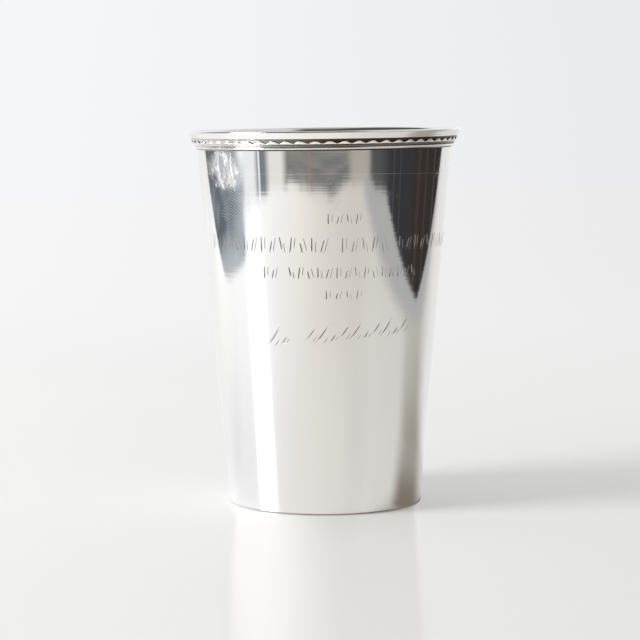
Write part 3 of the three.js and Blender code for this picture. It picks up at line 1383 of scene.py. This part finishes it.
@dataclass
class Studio:
    """The white table by a window, the pale backdrop, and the room that the silver mirrors."""

    table_radius: float = 0.6
    table_albedo: Triple = (0.715, 0.712, 0.705)
    table_roughness: float = 0.09
    mirrored_roughness: float = 0.17
    wall_radius: float = 1.6
    wall_height: float = 1.1
    key_distance: float = 1.0
    key_size: Pair = (0.38, 0.40)
    key_azimuth: float = math.radians(-71.5)
    key_elevation: float = math.radians(27.0)
    key_power: float = 10.8
    key_colour: Triple = (0.975, 0.985, 1.0)
    sky: float = 0.64
    sky_colour: Triple = (1.0, 0.985, 0.965)
    table_left: Edge = Edge((-0.352, 0.0), 180, 0.016)
    table_left_end: Edge = Edge((-0.394, 0.215), 32.7, 0.011)
    table_right: Edge = Edge((0.318, 0.0), 16.4, 0.012)
    table_right_end: Edge = Edge((0.3, 0.0618), 143.0, 0.009)
    table_front: float = 0.422
    table_corner: float = 0.464
    shade: Edge = Edge((0.258, 0.0), 0, 0.028)
    shade_end: Edge = Edge((0.237, 0.08), 138.6, 0.035)
    shade_colour: Triple = (0.425, 0.425, 0.42)
    # Painted light far behind on the window side, and painted shade close to the beaker on the right.
    far_painted_light_colour: Triple = (0.98, 0.98, 0.99)
    close_painted_shade_colour: Triple = (0.63, 0.605, 0.57)
    umbra_azimuth: float = 100.0
    umbra_colour: Triple = (0.44, 0.425, 0.36)
    core_heading: float = 26.0
    core_start: float = 18.9 * MM
    core_aside: float = 23.3 * MM
    core_spread: float = 0.36
    core_half_width: float = 6.5 * MM
    core_narrowest: float = 3.0 * MM
    foot_ring: Pair = (26.2 * MM, 27.5 * MM)
    contact_colour: Triple = (0.165, 0.135, 0.095)

    def build(self) -> None:
        """Sets up the whole studio, all of it turned to face the portrait camera."""
        parts = [self.table(), self.backdrop(), self.mirrored_table(), self.mirrored_room()]
        lamp = self.window()
        for thing in [*parts, lamp]:
            thing.matrix_world = Matrix.Rotation(PORTRAIT_TURN, 4, "Z") @ thing.matrix_world
        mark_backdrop(*parts)
        self.daylight()
        bpy.context.scene.view_settings.view_transform = "Standard"

    @staticmethod
    def dress(
        thing: bpy.types.Object, name: str, surface: Callable[[Ground], object], camera: bool,
    ) -> bpy.types.Object:
        """Gives a stage piece its material and says which rays meet it.

        Args:
            thing: The stage piece.
            name: The material's name.
            surface: Lays out the material and gives its shader.
            camera: Whether the camera sees the piece. If not, it shows only in the silver.

        Returns:
            The stage piece.
        """
        material, graph, output = new_material(name)
        graph.feed(output.inputs["Surface"], surface(Ground(graph.tree)))
        thing.data.materials.append(material)
        thing.visible_camera = camera
        thing.visible_glossy = not camera
        thing.visible_diffuse = False
        thing.visible_transmission = False
        thing.visible_shadow = False
        return thing

    @property
    def key_direction(self) -> Vector:
        """Gives the way from the beaker to the window's light.

        Returns:
            A vector of length 1.
        """
        level = math.cos(self.key_elevation)
        aside, ahead = math.sin(self.key_azimuth), -math.cos(self.key_azimuth)
        return Vector((aside * level, ahead * level, math.sin(self.key_elevation)))

    def table(self) -> bpy.types.Object:
        """Makes the glossy white table top that the camera sees.

        Returns:
            The table top.
        """
        bm = bmesh.new()
        bmesh.ops.create_circle(bm, cap_ends=True, segments=128, radius=self.table_radius)
        return self.dress(object_from(bm, "table_top"), "white_table", self.table_surface, camera=True)

    def table_surface(self, ground: Ground) -> bpy.types.NodeSocket:
        """Lays out the white lacquer, which fades into the backdrop far from the beaker.

        Args:
            ground: The material's graph.

        Returns:
            The shader's socket.
        """
        colour = ground.paint(self.table_albedo)
        lacquer = ground.add(
            "ShaderNodeBsdfPrincipled", Base_Color=colour, Roughness=self.table_roughness, IOR=1.5,
        )
        far = ground.ramp(ground.reach, 0.16, 0.55)
        return ground.layer(far, lacquer.outputs["BSDF"], ground.glow(ground.mix(PALE)))

    def backdrop(self) -> bpy.types.Object:
        """Makes the pale sweep that surrounds the table.

        Returns:
            The sweep.
        """
        bend = self.wall_radius - self.table_radius
        curve = arc((self.table_radius, bend * 0.8), 1.0, -90, 0, 12)
        outline = [
            (self.table_radius + (x - self.table_radius) * bend, (y - bend * 0.8) * bend * 0.8 + bend * 0.8)
            for x, y in curve
        ]
        outline.append((self.wall_radius, self.wall_height))
        sweep = object_from(spun(outline, 96, closed=False), "pale_backdrop")
        shade(sweep, 60)
        return self.dress(sweep, "pale_paper", lambda ground: ground.glow(ground.mix(PALE)), camera=True)

    def mirrored_table(self) -> bpy.types.Object:
        """Makes what the silver's wall mirrors: the table top, cut to size, with painted light and shade, and
        the darker room round it, which glows.

        Returns:
            The mirrored plane, just below the table top.
        """
        bm = bmesh.new()
        bmesh.ops.create_circle(bm, cap_ends=True, segments=128, radius=3.0)
        bmesh.ops.translate(bm, verts=bm.verts[:], vec=(0, 0, -0.1 * MM))
        plane = object_from(bm, "table_in_the_silver")
        return self.dress(plane, "table_and_room", self.mirrored_surface, camera=False)

    def mirrored_surface(self, ground: Ground) -> bpy.types.NodeSocket:
        """Lays out the mirrored table, its shaded right part and the room round it.

        Args:
            ground: The material's graph.

        Returns:
            The shader's socket.
        """
        colour = self.mirrored_colour(ground)
        lacquer = ground.add(
            "ShaderNodeBsdfPrincipled", Base_Color=colour, Roughness=self.mirrored_roughness, IOR=1.45,
        )
        lit = ground.layer(self.contact(ground), lacquer.outputs["BSDF"], ground.glow(self.contact_colour))
        shaded = ground.layer(ground.past(self.shade), lit, ground.glow(self.shade_colour))
        whole = ground.layer(ground.past(self.shade_end), shaded, lit)
        room = ground.mix(ROOM)
        for azimuth, half_width, tone in ROOM_STRIPS:
            share = ground.ramp(ground.aside(azimuth), half_width * 0.5, half_width * 1.4, 1.0, 0.0)
            room = ground.blend(share, room, tone)
        return ground.layer(self.room_share(ground), whole, ground.glow(room))

    def mirrored_colour(self, ground: Ground) -> bpy.types.NodeSocket:
        """Paints the mirrored table with painted light and shade: in painted shade on the camera's side and
        to the right, darker still close to the beaker there, darker in the painted shadow, and lighter far
        behind on the window side.

        Args:
            ground: The material's graph.

        Returns:
            The colour's socket.
        """
        azimuth, reach = ground.azimuth, ground.reach
        far = ground.product(ground.ramp(azimuth, -146, -132, 1.0, 0.0), ground.ramp(reach, 0.45, 0.8))
        bright = ground.blend(far, ground.mix(TABLE_IN_PAINTED_LIGHT), self.far_painted_light_colour)
        close = ground.product(ground.ramp(azimuth, 10, 45), ground.ramp(reach, 0.06, 0.26, 1.0, 0.0))
        painted_shade_table = ground.blend(close, ground.mix(TABLE_IN_PAINTED_SHADE), self.close_painted_shade_colour)
        painted_shade_share = ground.product(
            ground.ramp(azimuth, -58, -8),
            ground.ramp(azimuth, 95, 135, 1.0, 0.0),
            ground.ramp(reach, 0.0, 0.4, 0.64, 1.0),
        )
        top = ground.blend(self.under_window(ground), ground.blend(painted_shade_share, bright, painted_shade_table), (0.0, 0.0, 0.0))
        return ground.blend(self.umbra(ground), top, self.umbra_colour)

    def under_window(self, ground: Ground) -> bpy.types.NodeSocket:
        """Evens out the light on the mirrored table, which would be too bright close to the window.

        Args:
            ground: The material's graph.

        Returns:
            A socket with the share of the light to take away.
        """
        below = self.key_direction * self.key_distance
        below.z = 0.0
        return ground.ramp(ground.distance(ground.place, below), 0.42, 0.78, 0.4, 0.0)

    def umbra(self, ground: Ground) -> bpy.types.NodeSocket:
        """Says how dark the beaker's own shadow is on the mirrored table.

        Args:
            ground: The material's graph.

        Returns:
            A socket from 0 to 1.
        """
        return ground.product(
            ground.ramp(ground.aside(self.umbra_azimuth), 7, 22, 1.0, 0.0),
            ground.ramp(ground.reach, 0.05, 0.1, 0.0, 0.68),
            ground.ramp(ground.reach, 0.3, 0.42, 1.0, 0.0),
        )

    def contact(self, ground: Ground) -> bpy.types.NodeSocket:
        """Says how much painted shade lies on the mirrored table close to the beaker: round its foot, and in
        the dark core of its shadow.

        Args:
            ground: The material's graph.

        Returns:
            A socket from 0 to 1.
        """
        along = ground.turned(self.core_heading, -self.core_start)
        across = ground.turned(self.core_heading + 90, self.core_aside)
        spread = ground.math("MULTIPLY_ADD", along, self.core_spread, self.core_half_width)
        width = ground.math("MAXIMUM", spread, self.core_narrowest)
        share = ground.math("DIVIDE", ground.math("ABSOLUTE", across), width)
        core = ground.product(
            ground.ramp(share, 0.4, 1.6, 1.0, 0.0),
            ground.ramp(along, -0.012, -0.004),
            ground.ramp(along, 0.0, 0.06, 0.84, 0.32),
            ground.ramp(along, 0.06, 0.15, 1.0, 0.1),
        )
        foot = ground.product(
            ground.ramp(ground.reach, *self.foot_ring, 0.75, 0.0),
            ground.ramp(ground.azimuth, -70, 0, 0.3, 1.0),
        )
        return ground.math("MAXIMUM", core, foot, clamp=True)

    def room_share(self, ground: Ground) -> bpy.types.NodeSocket:
        """Says where the table top ends, seen from above.

        Args:
            ground: The material's graph.

        Returns:
            A socket that is 0 on the table and 1 in the room round it.
        """
        azimuth = ground.azimuth
        left = ground.product(
            ground.past(self.table_left),
            ground.before(self.table_left_end),
            ground.ramp(azimuth, -82, -76, 1.0, 0.0),
        )
        right = ground.product(
            ground.past(self.table_right), ground.before(self.table_right_end), ground.ramp(azimuth, 47, 57),
        )
        ragged = ground.math("MULTIPLY_ADD", ground.noise(ground.place, 9.0, detail=3.0), 0.06, -0.03)
        swayed = ground.math("ADD", ground.reach, ragged)
        edge = ground.ramp(ground.aside(2.0), 0, 45, self.table_front, self.table_corner)
        front = ground.product(
            ground.ramp(ground.math("SUBTRACT", swayed, edge), -0.014, 0.014),
            ground.ramp(azimuth, -90, -84),
            ground.ramp(azimuth, 60, 75, 1.0, 0.0),
        )
        return ground.math("MAXIMUM", ground.math("MAXIMUM", left, right), front, clamp=True)

    def mirrored_room(self) -> bpy.types.Object:
        """Makes the ceiling and walls that the lip, the beads and the inside mirror.

        Returns:
            A dome that only mirrors see.
        """
        bm = bmesh.new()
        bmesh.ops.create_uvsphere(bm, u_segments=48, v_segments=24, radius=2.8)
        return self.dress(object_from(bm, "room_in_the_silver"), "dim_room", self.dim_room, camera=False)

    @staticmethod
    def dim_room(ground: Ground) -> bpy.types.NodeSocket:
        """Paints the dome as a glow that only the silver mirrors: walls, a brighter strip low on them that is
        brightest on the window side, the bright side behind, and the ceiling.

        Args:
            ground: The material's graph.

        Returns:
            The shader's socket.
        """
        height = ground.height
        low = ground.product(ground.ramp(height, 0.03, 0.05), ground.ramp(height, 0.35, 0.65, 1.0, 0.0))
        walls = ground.blend(low, ground.mix(WALLS), ground.mix(SKYLINE))
        return ground.glow(ground.lay(walls, *CEILING))

    def window(self) -> bpy.types.Object:
        """Makes the window's soft light, low on the left and a little in front.

        Returns:
            The light.
        """
        data = bpy.data.lights.new("window", "AREA")
        data.shape = "RECTANGLE"
        data.size, data.size_y = self.key_size
        data.energy = self.key_power
        data.color = self.key_colour
        lamp = bpy.data.objects.new("window", data)
        bpy.context.scene.collection.objects.link(lamp)
        turn = self.key_direction.to_track_quat("Z", "Y").to_matrix().to_4x4()
        lamp.matrix_world = Matrix.Translation(self.key_direction * self.key_distance) @ turn
        lamp.visible_camera = False
        return lamp

    def daylight(self) -> None:
        """Fills the shadows with even light that the silver doesn't mirror."""
        world = bpy.data.worlds.new("daylight")
        world.use_nodes = True
        background = world.node_tree.nodes["Background"]
        background.inputs["Color"].default_value = (*self.sky_colour, 1.0)
        background.inputs["Strength"].default_value = self.sky
        bpy.context.scene.world = world
        world.cycles_visibility.glossy = False


def lean_rim(piece: bpy.types.Object, height: float) -> None:
    """Sets the rim slightly out of level, as the hand-made cup's is: low on the window side and at the back.

    Args:
        piece: The cup or its moulding.
        height: The cup's height.
    """
    aside = Matrix.Rotation(PORTRAIT_TURN, 3, "Z") @ Vector((1, 0, 0))
    behind = Matrix.Rotation(PORTRAIT_TURN, 3, "Z") @ Vector((0, 1, 0))
    low, high = height - LEAN_FROM, height - LEAN_TO
    for vertex in piece.data.vertices:
        rise = RIM_LEAN_ASIDE * vertex.co.dot(aside) - RIM_LEAN_BACK * (vertex.co.dot(behind) + RIM_RADIUS)
        share = min(max((vertex.co.z - low) / (high - low), 0.0), 1.0)
        vertex.co.z += rise * share * share * (3 - 2 * share)


def fit(piece: bpy.types.Object, node: Node) -> None:
    """Puts a fine piece in its solid's place.

    Args:
        piece: The fine piece.
        node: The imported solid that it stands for.
    """
    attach(piece, BODY)
    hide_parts(node.value)
    LOG.info("%s stands for %s with %d faces", piece.name, node.value, len(piece.data.polygons))


def main() -> None:
    """Builds the beaker and its studio."""
    logging.basicConfig(level=logging.INFO, format="%(name)s: %(message)s")
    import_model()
    solids = [corner.copy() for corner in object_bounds()]
    _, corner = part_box(Node.CUP.value)
    cup = Cup(height=corner.z, lip_radius=corner.x)
    rim_silver = Silver(colour=(0.95, 0.925, 0.89), gloss_low=0.055, gloss_high=0.085)
    pieces = [cup.build(Inscription(), Silver()), Moulding().build(cup, rim_silver)]
    for piece, node, slot in zip(pieces, Node, Slot):
        lean_rim(piece, cup.height)
        fit(piece, node)
    Portrait().build()
    Studio().build()


if __name__ == "__main__":
    main()
